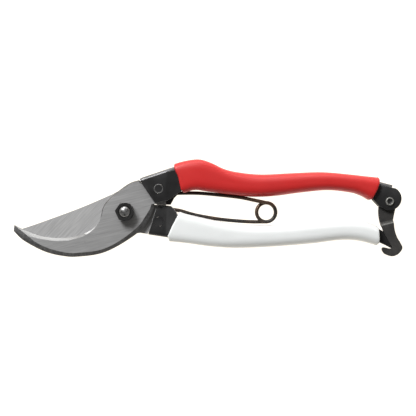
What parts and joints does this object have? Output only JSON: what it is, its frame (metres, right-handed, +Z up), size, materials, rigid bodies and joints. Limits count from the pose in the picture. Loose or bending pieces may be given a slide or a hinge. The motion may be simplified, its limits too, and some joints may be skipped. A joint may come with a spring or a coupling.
{
  "type": "pruning shears",
  "caption": "Bypass pruning shears with hooked counter blade, riveted channel handles with soft sleeve grips, wire coil spring and a swinging end catch.",
  "frame": {"origin": "centre of the pivot bolt head's flat outer face, which is on the pivot axis and in the plane that the closed tool lies on", "axes": "+Z up along the pivot axis; +X from the pivot towards the handles' ends, with the jaws at -X; +Y towards the red handle"},
  "size_m": [0.2, 0.0501, 0.0185],
  "materials": {
    "ground_steel": "surface-ground carbon steel with fine lengthwise grinding lines, forge-black chamfer",
    "cutting_steel": "ground carbon steel, brighter, with fine diagonal grinding lines",
    "black_steel": "satin black-coated pressed steel, worn lighter along the folds",
    "fastener_steel": "blackened fastener steel, semi-gloss",
    "spring_steel": "oil-tempered dark bronze-brown spring wire",
    "red_vinyl": "smooth satin soft vinyl sleeve, red",
    "white_vinyl": "smooth satin soft vinyl sleeve, white"
  },
  "bodies": {
    "red_arm": {"counter_blade": "ground_steel", "red_handle": "black_steel", "red_handle_rivet": "black_steel", "red_grip": "red_vinyl", "pivot_bolt": "fastener_steel", "pivot_washer": "fastener_steel", "pivot_nut": "fastener_steel", "catch_rivet": "fastener_steel"},
    "white_arm": {"cutting_blade": "cutting_steel", "white_handle": "black_steel", "white_handle_rivet": "black_steel", "white_grip": "white_vinyl"},
    "catch_body": {"catch": "black_steel"},
    "spring_body": {"spring": "spring_steel"}
  },
  "joints": [
    {"name": "blade_pivot", "type": "hinge", "parent": "red_arm", "child": "white_arm", "pos_m": [0, 0, 0.00715], "axis": [0, 0, -1], "range_deg": [0, 28], "deforming": ["spring"]},
    {"name": "spring_flex", "type": "hinge", "parent": "red_arm", "child": "spring_body", "pos_m": [0, 0, 0.00715], "axis": [0, 0, -1], "range_deg": [0, 14]},
    {"name": "catch_pivot", "type": "hinge", "parent": "red_arm", "child": "catch_body", "pos_m": [0.136, 0.0053, 0.00715], "axis": [0, 0, 1], "range_deg": [0, 100]}
  ],
  "couplings": [
    {"joint": "spring_flex", "follows": "blade_pivot", "ratio": 0.5}
  ]
}
